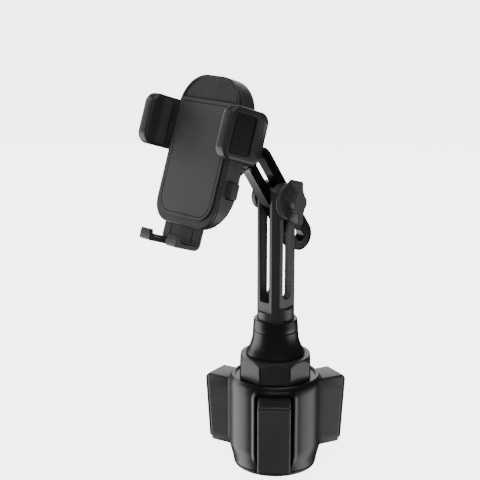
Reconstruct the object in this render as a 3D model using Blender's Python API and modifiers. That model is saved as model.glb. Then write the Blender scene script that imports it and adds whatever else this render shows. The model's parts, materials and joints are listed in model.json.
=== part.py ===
"""Car phone mount for a cup holder: a base with three expanding wings, a forked post, a slotted arm
on a clamping knob, and a cradle with two geared side clamps on a ball joint.

Lengths are in metres, +Z is up. The origin is the centre of the base's underside. The cradle faces -Y.
The cradle's own frame has its origin at the ball's centre, X across, Y to the back and Z up its face.
"""
import math

import bmesh
import bpy
from mathutils import Matrix, Vector

GAP = 0.0003                      # clearance between pieces that touch

# base
SHELL_R = 0.0352
RIM_R, RIM_Z = 0.0330, 0.0722
DECK_TOP, DECK_UNDER = 0.0710, 0.0686
COVER_Z = 0.0037                  # seam between the shell and the bottom cover
WING_ANGLES = (-45.0, 75.0, 195.0)
WING_WIDTH = 0.0244
WING_LOW, WING_TOP = 0.0108, 0.0652
WING_R_TOP, WING_R_LOW = 0.0566, 0.0526
WING_TRAVEL = 0.0170
PAD_T = 0.0015
CAM_TURN = math.radians(110)
PIN_R, PIN_AT = 0.0015, 0.0290
CAM_LOW, CAM_TOP = 0.0658, 0.0682
NUT_LOW, NUT_TOP = 0.0716, 0.0886
NUT_FLAT = 0.0266                 # half the width across flats
COLUMN_R = 0.0060

# neck and post
NECK_LOW, NECK_TOP = 0.0889, 0.1078
COLLAR_LOW, COLLAR_TOP = 0.1081, 0.1167
POST_R, POST_FLAT = 0.0140, 0.0118
POST_LOW = 0.1016
FORK_HALF, FORK_LOW = 0.0050, 0.1305
SLOT_HALF = 0.0042                # half width of the post's and the arm's slots
SLOT_LOW = 0.1372                 # centre of the post slot's lower end
PIVOT_Z = 0.2085

# arm and its clamp
ARM_LEAN = math.radians(34.5)
ARM_UP, ARM_DOWN = 0.0360, 0.0375
ARM_R, ARM_HALF_T = 0.0115, 0.0047
BOLT_R = 0.0030
KNOB_BACK, KNOB_FRONT = 0.0136, 0.0254
KNOB_REACH, KNOB_HUB_R = 0.0163, 0.0063

# cradle, in its own frame
CRADLE_LEAN = math.radians(18.2)
BALL_R, SEAT_R = 0.0085, 0.0106
NECK_R = 0.0040
CASE_HALF_W = 0.0310
CASE_LOW, CASE_TOP = -0.0555, 0.0500
CASE_FRONT, CASE_BACK = -0.0246, -0.0070
PLATE_FRONT, PLATE_BACK = -0.0269, -0.0249
PHONE_BACK = -0.0281
CLAMP_Z, CLAMP_HALF_H = 0.0125, 0.0182
CLAMP_IN, CLAMP_OUT, CLAMP_LIP = 0.0402, 0.0460, 0.0357
CLAMP_FRONT, CLAMP_REAR = -0.0460, -0.0100
RACK_FRONT, RACK_BACK = -0.0242, -0.0204
MODULE, TEETH = 0.0010, 12
BUTTON_Z, BUTTON_HALF_H = -0.0252, 0.0058
BUTTON_FRONT, BUTTON_BACK = -0.0201, -0.0132
FOOT_Z = -0.0672                  # top of the foot's shelf
FOOT_HALF, FOOT_THICK = 0.0195, 0.0035
HOOK_FRONT, HOOK_BACK, HOOK_TOP = -0.0445, -0.0412, FOOT_Z + 0.0044
HOOK_IN, PAD_BACK = 0.0095, -0.0262


def start():
    """Empty the scene and make the two collections."""
    for item in list(bpy.data.objects):
        bpy.data.objects.remove(item)
    made = []
    for name in ("car_phone_mount", "cutters"):
        group = bpy.data.collections.new(name)
        bpy.context.scene.collection.children.link(group)
        made.append(group)
    return made


PARTS, CUTTERS = start()


def material(name, colour, roughness, metallic=0.0):
    made = bpy.data.materials.new(name)
    made.use_nodes = True
    shader = made.node_tree.nodes["Principled BSDF"]
    shader.inputs["Base Color"].default_value = (*colour, 1.0)
    shader.inputs["Roughness"].default_value = roughness
    shader.inputs["Metallic"].default_value = metallic
    return made


GLOSS = material("glossy_black", (0.012, 0.012, 0.013), 0.22)
SATIN = material("satin_black", (0.022, 0.022, 0.024), 0.42)
RUBBER = material("dark_rubber", (0.035, 0.036, 0.038), 0.75)
STEEL = material("steel", (0.55, 0.55, 0.56), 0.30, 1.0)
BRASS = material("brass", (0.68, 0.50, 0.22), 0.35, 1.0)
NYLON = material("white_nylon", (0.72, 0.72, 0.69), 0.50)


# ---------------------------------------------------------------- tools

def place(name, mesh, look, parent=None):
    """Put a mesh in the scene as a part, or as a cutter where it has no material."""
    made = bpy.data.objects.new(name, mesh)
    if look is None:
        CUTTERS.objects.link(made)
        made.hide_render = True
        made.display_type = "WIRE"
    else:
        PARTS.objects.link(made)
        mesh.materials.append(look)
    made.parent = parent
    return made


def empty(name, location, rotation=(0, 0, 0)):
    made = bpy.data.objects.new(name, None)
    CUTTERS.objects.link(made)
    made.location = location
    made.rotation_euler = rotation
    bpy.context.view_layer.update()
    return made


def smooth(mesh, angle=35):
    mesh.shade_smooth()
    mesh.set_sharp_from_angle(angle=math.radians(angle))
    return mesh


def box(name, low, high, look=None, parent=None):
    """A box between two corners."""
    bm = bmesh.new()
    bmesh.ops.create_cube(bm, size=1.0)
    low, high = Vector(low), Vector(high)
    for vert in bm.verts:
        vert.co = Vector([(a + b) / 2 + c * (b - a) for a, b, c in zip(low, high, vert.co)])
    mesh = bpy.data.meshes.new(name)
    bm.to_mesh(mesh)
    bm.free()
    return place(name, mesh, look, parent)


TURNED_TO = {"Z": Matrix.Identity(4), "X": Matrix.Rotation(math.radians(90), 4, "Y"),
             "Y": Matrix.Rotation(math.radians(-90), 4, "X")}


def turned(name, profile, look=None, parent=None, axis="Z", steps=20, at=(0, 0, 0), closed=True):
    """Turn a profile of (radius, height) points that runs down its outer side. A profile that is not
    closed starts and ends on the axis."""
    mesh = bpy.data.meshes.new(name)
    count = len(profile)
    links = [(i, i + 1) for i in range(count - 1)] + ([(count - 1, 0)] if closed else [])
    mesh.from_pydata([(r, 0, z) for r, z in profile], links, [])
    guide = place(name, mesh, None)
    screw = guide.modifiers.new("turn", "SCREW")
    screw.steps = screw.render_steps = steps
    screw.use_merge_vertices = True
    screw.merge_threshold = 0.00001
    bpy.context.view_layer.update()
    solid = bpy.data.meshes.new_from_object(guide.evaluated_get(bpy.context.evaluated_depsgraph_get()))
    bpy.data.objects.remove(guide)
    solid.transform(Matrix.Translation(at) @ TURNED_TO[axis])
    return place(name, smooth(solid), look, parent)


def rod(name, radius, low, high, look=None, parent=None, axis="Z", steps=16, at=(0, 0, 0)):
    """A plain cylinder along an axis, between two heights."""
    bm = bmesh.new()
    bmesh.ops.create_cone(bm, cap_ends=True, segments=steps, radius1=radius, radius2=radius,
                          depth=high - low)
    bmesh.ops.translate(bm, verts=bm.verts, vec=(0, 0, (low + high) / 2))
    mesh = bpy.data.meshes.new(name)
    bm.to_mesh(mesh)
    bm.free()
    mesh.transform(Matrix.Translation(at) @ TURNED_TO[axis])
    return place(name, smooth(mesh), look, parent)


# maps an outline's flat x, y and its depth to world axes
FLAT_TO = {
    "XY": Matrix.Identity(4),
    "XZ": Matrix(((1, 0, 0, 0), (0, 0, 1, 0), (0, 1, 0, 0), (0, 0, 0, 1))),
    "YZ": Matrix(((0, 0, 1, 0), (1, 0, 0, 0), (0, 1, 0, 0), (0, 0, 0, 1))),
}


def prism(name, outlines, plane, low, high, look=None, parent=None, bevel=0.0):
    """Extrude flat outlines, the first the outside and the rest holes, between two depths."""
    curve = bpy.data.curves.new(name, "CURVE")
    curve.dimensions = "2D"
    curve.fill_mode = "BOTH"
    curve.extrude = (high - low) / 2
    for outline in outlines:
        spline = curve.splines.new("POLY")
        spline.points.add(len(outline) - 1)
        for point, (x, y) in zip(spline.points, outline):
            point.co = (x, y, 0, 1)
        spline.use_cyclic_u = True
    guide = bpy.data.objects.new(name, curve)
    CUTTERS.objects.link(guide)
    bpy.context.view_layer.update()
    solid = bpy.data.meshes.new_from_object(guide.evaluated_get(bpy.context.evaluated_depsgraph_get()))
    bpy.data.objects.remove(guide)
    solid.transform(FLAT_TO[plane] @ Matrix.Translation((0, 0, (low + high) / 2)))
    bm = bmesh.new()
    bm.from_mesh(solid)
    bmesh.ops.remove_doubles(bm, verts=bm.verts, dist=0.000001)
    bmesh.ops.recalc_face_normals(bm, faces=bm.faces)
    bm.to_mesh(solid)
    bm.free()
    solid.materials.clear()
    made = place(name, smooth(solid), look, parent)
    if bevel:
        edge = made.modifiers.new("edge", "BEVEL")
        edge.width = bevel
        edge.segments = 2
        edge.limit_method = "ANGLE"
        edge.angle_limit = math.radians(50)
    return made


def boolean(target, other, operation="DIFFERENCE", solver="EXACT"):
    step = target.modifiers.new(operation.lower(), "BOOLEAN")
    step.operation = operation
    step.solver = solver
    step.object = other
    return target


def arc(cx, cy, radius, start_deg, end_deg, count):
    """Points along an arc, both ends included."""
    turn = [math.radians(start_deg + (end_deg - start_deg) * i / (count - 1)) for i in range(count)]
    return [(cx + radius * math.cos(t), cy + radius * math.sin(t)) for t in turn]


def rounded(x0, x1, y0, y1, r_low, r_top=None, count=5):
    """A rectangle's outline with one radius at its two low corners and one at its top corners."""
    r_top = r_low if r_top is None else r_top
    return (arc(x1 - r_low, y0 + r_low, r_low, -90, 0, count) + arc(x1 - r_top, y1 - r_top, r_top, 0, 90, count)
            + arc(x0 + r_top, y1 - r_top, r_top, 90, 180, count)
            + arc(x0 + r_low, y0 + r_low, r_low, 180, 270, count))


def slot_outline(a, b, half, lean=0.0, origin=(0.0, 0.0), count=9):
    """A long hole with round ends, between two distances along a line that leans to -x."""
    axis = (-math.sin(lean), math.cos(lean))
    start = math.degrees(lean)
    ends = [(origin[0] + axis[0] * d, origin[1] + axis[1] * d) for d in (a, b)]
    return arc(*ends[1], half, start, start + 180, count) + arc(*ends[0], half, start + 180, start + 360, count)


# ---------------------------------------------------------------- base

def base_shell():
    """Round housing: closed deck under the nut, open below, three openings for the wings."""
    outer = [(0.0312, RIM_Z), (0.0324, RIM_Z), (RIM_R + 0.0006, 0.0710), (0.0347, 0.0682), (SHELL_R, 0.0640),
             (SHELL_R, 0.0185), (0.0334, 0.0158), (0.0324, 0.0110), (0.0318, COVER_Z + GAP)]
    inner = [(0.0296, COVER_Z + GAP), (0.0302, 0.0150), (0.0330, 0.0200), (0.0330, 0.0665),
             (0.0316, DECK_UNDER), (0.0097, DECK_UNDER), (0.0097, DECK_TOP), (0.0306, DECK_TOP)]
    shell = turned("base_shell", outer + inner, GLOSS, steps=40)
    for number, angle in enumerate(WING_ANGLES, 1):
        hole = box(f"wing_hole_{number}", (0.022, -WING_WIDTH / 2 - 0.0006, WING_LOW - 0.0010),
                   (0.060, WING_WIDTH / 2 + 0.0006, WING_TOP + 0.0010))
        hole.rotation_euler.z = math.radians(angle)
        boolean(shell, hole)


def bottom_cover():
    """Closing plate with a rounded edge, screwed on from below."""
    plate = turned("bottom_cover", [(0.0, 0.0050), (0.0290, 0.0050), (0.0291, COVER_Z), (0.0316, COVER_Z),
                                    (0.0311, 0.0020), (0.0298, 0.0007), (0.0276, 0.0), (0.0, 0.0)],
                   SATIN, steps=36, closed=False)
    for number in range(3):
        turn = math.radians(15 + 120 * number)
        at = (0.0235 * math.cos(turn), 0.0235 * math.sin(turn), 0)
        boolean(plate, rod(f"screw_seat_{number}", 0.0031, -0.001, 0.0020, at=at))
        boolean(plate, rod(f"screw_way_{number}", 0.0016, -0.001, 0.0060, at=at, steps=10))
        turned(f"cover_screw_{number + 1}", [(0.0, 0.0105), (0.0013, 0.0105), (0.0013, 0.0017), (0.0028, 0.0017),
                                             (0.0028, 0.0007), (0.0022, 0.0004), (0.0, 0.0004)],
               STEEL, steps=16, at=at, closed=False)


def centre_column():
    """Steel tube that carries the neck, flanged where it stands on the bottom cover."""
    turned("centre_column", [(0.0042, 0.1005), (COLUMN_R, 0.1005), (COLUMN_R, 0.0075), (0.0110, 0.0075),
                             (0.0110, 0.0053), (0.0042, 0.0053)], STEEL)


def wing_face(z):
    """Radius of a wing's outer face, pad included, at a height."""
    return WING_R_LOW + (WING_R_TOP - WING_R_LOW) * (z - WING_LOW) / (WING_TOP - WING_LOW)


def wing(number, angle):
    """Hollow wing, open towards the axis, with a tongue on top for its drive pin."""
    hub = empty(f"wing_{number}_way", (0, 0, 0), (0, 0, math.radians(angle)))
    skin = PAD_T + GAP
    half = WING_WIDTH / 2
    side = [(0.0270, WING_LOW), (wing_face(WING_LOW) - skin, WING_LOW), (wing_face(WING_TOP) - skin, WING_TOP),
            (0.0270, WING_TOP)]
    body = prism(f"wing_{number}", [side], "XZ", -half, half, SATIN, hub, bevel=0.0012)
    hollow = [(0.020, WING_LOW + 0.0022), (wing_face(WING_LOW) - 0.0042, WING_LOW + 0.0022),
              (wing_face(WING_TOP) - 0.0042, WING_TOP - 0.0022), (0.020, WING_TOP - 0.0022)]
    boolean(body, prism(f"wing_hollow_{number}", [hollow], "XZ", -half + 0.0022, half - 0.0022, None, hub))
    tongue = box(f"wing_tongue_{number}", (0.0256, -0.0060, WING_TOP - 0.0030), (0.0330, 0.0060, WING_TOP - 0.0001),
                 None, hub)
    boolean(body, tongue, "UNION")
    boolean(body, rod(f"pin_way_{number}", PIN_R + GAP, 0.055, 0.070, None, hub, at=(PIN_AT, 0, 0), steps=10))
    low, top, rim = WING_LOW + 0.0020, WING_TOP - 0.0018, 0.0016
    pad = prism(f"wing_pad_{number}", [rounded(-half + rim, half - rim, low, top, 0.0025)], "YZ",
                0.0400, 0.0600, RUBBER, hub)
    slab = [(wing_face(low - 0.002) - PAD_T, low - 0.002), (wing_face(low - 0.002), low - 0.002),
            (wing_face(top + 0.002), top + 0.002), (wing_face(top + 0.002) - PAD_T, top + 0.002)]
    boolean(pad, prism(f"pad_slab_{number}", [slab], "XZ", -0.02, 0.02, None, hub), "INTERSECT")
    rod(f"wing_pin_{number}", PIN_R, WING_TOP - 0.0029, CAM_TOP - 0.0002, STEEL, hub, at=(PIN_AT, 0, 0), steps=12)


def adjusting_nut():
    """Eight-sided nut with a coned top edge and a sleeve that carries the cam disc."""
    bm = bmesh.new()
    corner = NUT_FLAT / math.cos(math.radians(22.5))
    bmesh.ops.create_cone(bm, cap_ends=True, segments=8, radius1=corner, radius2=corner, depth=NUT_TOP - NUT_LOW)
    bmesh.ops.rotate(bm, verts=bm.verts, matrix=Matrix.Rotation(math.radians(22.5), 3, "Z"))
    bmesh.ops.translate(bm, verts=bm.verts, vec=(0, 0, (NUT_LOW + NUT_TOP) / 2))
    mesh = bpy.data.meshes.new("adjusting_nut")
    bm.to_mesh(mesh)
    bm.free()
    nut = place("adjusting_nut", mesh, GLOSS)
    crown = turned("nut_crown", [(0.0, NUT_TOP + 0.001), (0.0245, NUT_TOP + 0.001), (0.0257, NUT_TOP - 0.0002),
                                 (0.0292, NUT_TOP - 0.0042), (0.0292, NUT_LOW + 0.0008), (0.0283, NUT_LOW - 0.0002),
                                 (0.0, NUT_LOW - 0.0002)], steps=40, closed=False)
    boolean(nut, crown, "INTERSECT")
    boolean(nut, rod("nut_sleeve", 0.0092, CAM_LOW + 0.0001, NUT_LOW + 0.002), "UNION")
    boolean(nut, rod("nut_bore", COLUMN_R + 0.0005, 0.060, 0.100))


def cam_disc():
    """Disc with three spiral slots that move the wings' pins in and out."""
    disc = turned("cam_disc", [(0.0095, CAM_TOP), (0.0314, CAM_TOP), (0.0314, CAM_LOW), (0.0095, CAM_LOW)],
                  STEEL, steps=30)
    rate = WING_TRAVEL / CAM_TURN
    half = PIN_R + 0.0003
    count = 8
    for number, angle in enumerate(WING_ANGLES, 1):
        rim_out, rim_in = [], []
        for i in range(count):
            turn = CAM_TURN * (-0.02 + 1.04 * i / (count - 1))
            radius = PIN_AT - rate * turn
            tilt = math.atan2(rate, radius)
            here = Vector((radius, 0))
            side = Vector((math.cos(tilt), math.sin(tilt))) * half
            spin = Matrix.Rotation(turn + math.radians(angle), 2)
            rim_out.append(tuple(spin @ (here + side)))
            rim_in.append(tuple(spin @ (here - side)))
        boolean(disc, prism(f"cam_slot_{number}", [rim_out + rim_in[::-1]], "XY", CAM_LOW - 0.001, CAM_TOP + 0.001))
        ends = [(PIN_AT, 0.0), (PIN_AT - WING_TRAVEL, CAM_TURN)]
        for end, (radius, turn) in enumerate(ends):
            way = turn + math.radians(angle)
            boolean(disc, rod(f"cam_end_{number}_{end}", half + 0.0001, CAM_LOW - 0.001, CAM_TOP + 0.001,
                              at=(radius * math.cos(way), radius * math.sin(way), 0), steps=10))


# ---------------------------------------------------------------- neck and post

def neck():
    """Flared neck on the centre column, held down by a washer and nut, with its collar ring."""
    flare = [(0.0172 + 0.0052 * (1 - t) ** 2.2, NECK_LOW + 0.0010 + (NECK_TOP - NECK_LOW - 0.0010) * t)
             for t in [1 - i / 5 for i in range(6)]]
    turned("neck_cone", [(0.0143, NECK_TOP)] + flare + [(0.0220, NECK_LOW), (COLUMN_R + GAP, NECK_LOW),
                         (COLUMN_R + GAP, 0.0925), (0.0125, 0.0925), (0.0125, 0.1013), (0.0143, 0.1013)],
           GLOSS, steps=32)
    turned("collar_ring", [(0.0143, COLLAR_TOP), (0.0159, COLLAR_TOP), (0.0166, COLLAR_TOP - 0.0008),
                           (0.0172, COLLAR_LOW + 0.0008), (0.0168, COLLAR_LOW), (0.0143, COLLAR_LOW)],
           GLOSS, steps=32)
    turned("neck_washer", [(COLUMN_R + GAP, 0.0941), (0.0105, 0.0941), (0.0105, 0.0928),
                           (COLUMN_R + GAP, 0.0928)], STEEL)
    nut = rod("neck_nut", 0.0100, 0.0944, 0.0990, STEEL, steps=6)
    boolean(nut, rod("neck_nut_bore", COLUMN_R + GAP, 0.090, 0.102))


def post():
    """Forked column: round below, flatted on four sides, with a gap and a long slot for the bolt."""
    column = rod("post", POST_R, POST_LOW, 0.2260, SATIN, steps=40)
    for number, (x, y, low) in enumerate([(1, 0, 0.1270), (-1, 0, 0.1270), (0, 1, 0.1235), (0, -1, 0.1235)]):
        near, far, wide = POST_FLAT, 0.030, 0.030
        if x:
            lo, hi = (min(x * near, x * far), -wide, low), (max(x * near, x * far), wide, 0.24)
        else:
            lo, hi = (-wide, min(y * near, y * far), low), (wide, max(y * near, y * far), 0.24)
        boolean(column, box(f"post_flat_{number}", lo, hi))
    crown = [(-0.0150, 0.2010), (-0.0150, 0.0950), (0.0150, 0.0950), (0.0150, 0.2010)]
    crown += arc(0, PIVOT_Z, 0.0123, -10, 190, 17)
    boolean(column, prism("post_crown", [crown], "YZ", -0.02, 0.02), "INTERSECT")
    boolean(column, box("fork_gap", (-FORK_HALF, -0.03, FORK_LOW), (FORK_HALF, 0.03, 0.24)))
    slot = slot_outline(SLOT_LOW, PIVOT_Z, SLOT_HALF)
    boolean(column, prism("post_slot", [slot], "YZ", -0.03, 0.03))


# ---------------------------------------------------------------- clamp bolt, knob and arm

def clamp_bolt():
    """Shouldered bolt across the fork, its head cover, the two washers and the bush in the arm's slot."""
    pivot = empty("pivot", (0, 0, PIVOT_Z))
    turned("clamp_bolt", [(0.0, 0.0212), (BOLT_R, 0.0212), (BOLT_R, -0.0053), (0.0040, -0.0053),
                          (0.0040, -0.0134), (0.0066, -0.0134), (0.0066, -0.0158), (0.0, -0.0158)],
           STEEL, pivot, axis="X", closed=False, steps=24)
    turned("bolt_cap", [(0.0, -0.0161), (0.0069, -0.0161), (0.0069, -0.0132), (0.0102, -0.0132), (0.0102, -0.0160),
                        (0.0092, -0.0172), (0.0, -0.0172)], SATIN, pivot, axis="X", closed=False)
    for name, inner, low in (("washer_left", 0.0043, -0.0129), ("washer_right", 0.0043, 0.0121)):
        turned(name, [(inner, low + 0.0008), (0.0106, low + 0.0008), (0.0106, low), (inner, low)],
               SATIN, pivot, axis="X")
    half = SLOT_HALF - 0.0002
    bush = slot_outline(-0.0060, 0.0060, half, ARM_LEAN)
    prism("slot_guide", [bush, arc(0, 0, BOLT_R + 0.0003, 0, 337.5, 16)], "YZ", -0.0045, 0.0045, SATIN, pivot)


def knob():
    """Two-winged clamping knob with a round hub, a flange and a threaded brass insert."""
    pivot = bpy.data.objects["pivot"]
    tip, waist = 0.0026, 0.0025
    quarter = arc(0, KNOB_REACH - tip, tip, 0, 90, 5)[:-1]
    hub = arc(0, 0, KNOB_HUB_R, 0, 60, 5)
    right = hub + [(waist, 0.0081)] + quarter
    outline = (right + [(-x, y) for x, y in right[::-1]]
               + [(-x, -y) for x, y in right[1:]] + [(x, -y) for x, y in right[:0:-1]])
    body = prism("knob", [outline], "YZ", KNOB_BACK + 0.0010, KNOB_FRONT, SATIN, pivot, bevel=0.0005)
    boolean(body, turned("knob_flange", [(0.0, KNOB_BACK + 0.0022), (0.0133, KNOB_BACK + 0.0022),
                                         (0.0142, KNOB_BACK + 0.0014), (0.0142, KNOB_BACK), (0.0, KNOB_BACK)],
                         None, pivot, axis="X", closed=False), "UNION")
    boolean(body, rod("knob_bore", 0.0043, 0.010, 0.0236, None, pivot, axis="X"))
    turned("knob_insert", [(0.0033, 0.0230), (0.0040, 0.0230), (0.0040, 0.0054), (0.0033, 0.0054)],
           BRASS, pivot, axis="X", steps=16)


def arm():
    """Flat slotted arm with round ends, and a boss at its upper end for the ball stud."""
    pivot = bpy.data.objects["pivot"]
    outside = slot_outline(-ARM_DOWN, ARM_UP, ARM_R, ARM_LEAN, count=11)
    body = prism("arm", [outside], "YZ", -ARM_HALF_T, ARM_HALF_T, GLOSS, pivot, bevel=0.0007)
    boolean(body, rod("arm_boss", 0.0070, 0.0168, 0.0240, None, CRADLE, axis="Y"), "UNION")
    slot = slot_outline(-ARM_DOWN, ARM_UP, SLOT_HALF, ARM_LEAN)
    boolean(body, prism("arm_slot", [slot], "YZ", -0.02, 0.02, None, pivot))
    boolean(body, rod("stud_way", 0.0028, 0.010, 0.0300, None, CRADLE, axis="Y"))


# ---------------------------------------------------------------- ball joint

def sphere_arc(radius, start_deg, end_deg, count):
    """Profile points on a sphere, by angle from the joint's back pole."""
    turn = [math.radians(start_deg + (end_deg - start_deg) * i / (count - 1)) for i in range(count)]
    return [(radius * math.sin(t), radius * math.cos(t)) for t in turn]


def ball_joint():
    """Ball stud in the arm, two nylon liner shells and the ring nut that closes the socket."""
    neck_at = math.degrees(math.asin(NECK_R / BALL_R))
    turned("ball_stud", [(0.0, 0.0252), (0.0025, 0.0252), (0.0025, 0.0165), (0.0068, 0.0165), (0.0068, 0.0142),
                         (NECK_R, 0.0130)] + sphere_arc(BALL_R, neck_at, 180, 9)[:-1] + [(0.0, -BALL_R)],
           STEEL, CRADLE, axis="Y", closed=False)
    for name, start_deg, end_deg in (("liner_rear", 30, 72), ("liner_front", 102, 150)):
        turned(name, sphere_arc(0.0103, start_deg, end_deg, 4) + sphere_arc(0.0088, end_deg, start_deg, 4),
               NYLON, CRADLE, axis="Y")
    seat = sphere_arc(SEAT_R, 86, 46, 4)
    turned("ring_nut", [(0.0086, 0.0088), (0.0160, 0.0088), (0.0172, 0.0076), (0.0172, -0.0058),
                        (0.0143, -0.0058), (0.0143, 0.0008)] + seat, SATIN, CRADLE, axis="Y", steps=28)


# ---------------------------------------------------------------- cradle

def boat(name, inset, front, look=None):
    """The casing's rounded form: a straight side that curves in to a smaller flat back."""
    half, low, top = CASE_HALF_W - inset, CASE_LOW + inset, CASE_TOP - inset
    ring = rounded(-half, half, low, top, 0.0150 - inset, 0.0235 - inset, 5)
    bm = bmesh.new()
    face = bm.faces.new([bm.verts.new((x, front, z)) for x, z in ring])
    middle = Vector((0, front, (low + top) / 2))
    for depth, shrink in ((-0.0140, 1.0), (-0.0105, 0.955), (-0.0082, 0.865), (CASE_BACK, 0.74)):
        new = bmesh.ops.extrude_face_region(bm, geom=[face])
        if len(bm.faces) > len(ring) + 2:
            bmesh.ops.delete(bm, geom=[face], context="FACES_ONLY")
        face = next(item for item in new["geom"] if isinstance(item, bmesh.types.BMFace))
        for vert, (x, z) in zip(face.verts, [(v.co.x, v.co.z) for v in face.verts]):
            vert.co.y = depth - inset * (depth > -0.013)
        scale = shrink / boat_scale(face, half)
        for vert in face.verts:
            vert.co.x *= scale
            vert.co.z = middle.z + (vert.co.z - middle.z) * scale
    bmesh.ops.recalc_face_normals(bm, faces=bm.faces)
    mesh = bpy.data.meshes.new(name)
    bm.to_mesh(mesh)
    bm.free()
    return place(name, smooth(mesh, 30), look, CRADLE)


def boat_scale(face, half):
    """How wide a ring of the boat form is now, as a share of its full width."""
    return max(abs(vert.co.x) for vert in face.verts) / half


SCREWS = ((-0.021, -0.010), (0.021, -0.010), (-0.018, 0.038), (0.018, 0.038))


def rear_casing():
    """Hollow back shell with the ball socket, the pinion's boss and openings for all that moves."""
    case = boat("rear_casing", 0.0, CASE_FRONT, SATIN)
    stern = [(0.010, -0.0280), (-0.0080, -0.0280), (-0.0215, -0.0565), (-0.0215, -0.0700), (0.010, -0.0700)]
    boolean(case, prism("stern_cut", [stern], "YZ", -0.05, 0.05, None, CRADLE))
    hollow = boat("case_hollow", 0.0020, CASE_FRONT - 0.001)
    stern_in = [(y - 0.0022, z) for y, z in stern]
    boolean(hollow, prism("stern_hollow", [stern_in], "YZ", -0.05, 0.05, None, CRADLE))
    boolean(case, hollow)
    hub = turned("ball_hub", [(0.0, -SEAT_R)] + sphere_arc(SEAT_R, 180, 90, 8)[1:] + [(SEAT_R, 0.0005),
                 (0.0140, 0.0005), (0.0140, -0.0136), (0.0, -0.0136)], None, CRADLE, axis="Y", closed=False)
    boolean(case, rod("hub_room", 0.0138, -0.0120, 0.0100, None, CRADLE, axis="Y", steps=20))
    boolean(case, hub, "UNION")
    boolean(case, rod("pinion_boss", 0.0034, -0.0198, -0.0085, None, CRADLE, axis="Y", at=(0, 0, CLAMP_Z + 0.0001)),
            "UNION")
    boolean(case, rod("pinion_pin_way", 0.0015, -0.0300, -0.0150, None, CRADLE, axis="Y", at=(0, 0, CLAMP_Z),
                      steps=10))
    for number, (x, z) in enumerate(SCREWS):
        at = (x, 0, z)
        boolean(case, rod(f"case_boss_{number}", 0.0043, CASE_FRONT, -0.0085, None, CRADLE, "Y", at=at), "UNION")
        boolean(case, rod(f"case_bore_{number}", 0.0016, -0.030, 0.0, None, CRADLE, "Y", at=at, steps=10))
        boolean(case, rod(f"case_sink_{number}", 0.0031, -0.0110, 0.0, None, CRADLE, "Y", at=at, steps=10))
        turned(f"case_screw_{number + 1}", [(0.0, -0.0092), (0.0024, -0.0092), (0.0028, -0.0096), (0.0028, -0.0107),
                                            (0.0013, -0.0107), (0.0013, -0.0244), (0.0, -0.0244)],
               STEEL, CRADLE, axis="Y", at=at, closed=False, steps=10)
    for side in (-1, 1):
        low, high = sorted((side * 0.027, side * 0.040))
        boolean(case, box(f"arm_door_{side}", (low, -0.0260, -0.0010), (high, RACK_BACK + 0.0004, 0.0260), None,
                          CRADLE))
        boolean(case, box(f"button_door_{side}", (low, BUTTON_FRONT - 0.0003, BUTTON_Z - BUTTON_HALF_H - 0.0003),
                          (high, BUTTON_BACK + 0.0003, BUTTON_Z + BUTTON_HALF_H + 0.0003), None, CRADLE))
    boolean(case, box("foot_door", (-0.0204, -0.0260, -0.0600), (0.0204, -0.0215, -0.0450), None, CRADLE))


def front():
    """Front plate and the soft pad that the phone's back rests on."""
    outline = rounded(-CASE_HALF_W, CASE_HALF_W, CASE_LOW, CASE_TOP, 0.0150, 0.0235, 5)
    prism("front_plate", [outline], "XZ", PLATE_FRONT, PLATE_BACK, SATIN, CRADLE, bevel=0.0006)
    soft = rounded(-0.0265, 0.0265, -0.0485, 0.0325, 0.0120, 0.0060, 5)
    prism("front_pad", [soft], "XZ", PHONE_BACK, PLATE_FRONT - GAP, RUBBER, CRADLE)


def rack_teeth(side, up):
    """Flat outline of a rack bar with trapezoid teeth: side is the clamp's side, up the teeth's way."""
    pitch = math.pi * MODULE
    line = CLAMP_Z - up * TEETH * MODULE / 2
    tip, root = line + up * 0.8 * MODULE, line - up * 1.25 * MODULE
    lean = math.tan(math.radians(20)) * MODULE
    thick = pitch / 4 - 0.00010
    points = []
    for i in range(-5, 6):
        middle = (i + 0.5) * pitch
        if -0.0128 < -side * middle < 0.0150 or abs(middle) < 0.0128:
            points += [(middle - thick - 1.25 * lean, root), (middle - thick + 0.8 * lean, tip),
                       (middle + thick - 0.8 * lean, tip), (middle + thick + 1.25 * lean, root)]
    back = CLAMP_Z - up * 0.0121
    left, right = sorted((-side * 0.0140, side * 0.0330))
    points = [p for p in points if left < p[0] < right]
    return [(left, root)] + points + [(right, root), (right, back), (left, back)]


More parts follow.
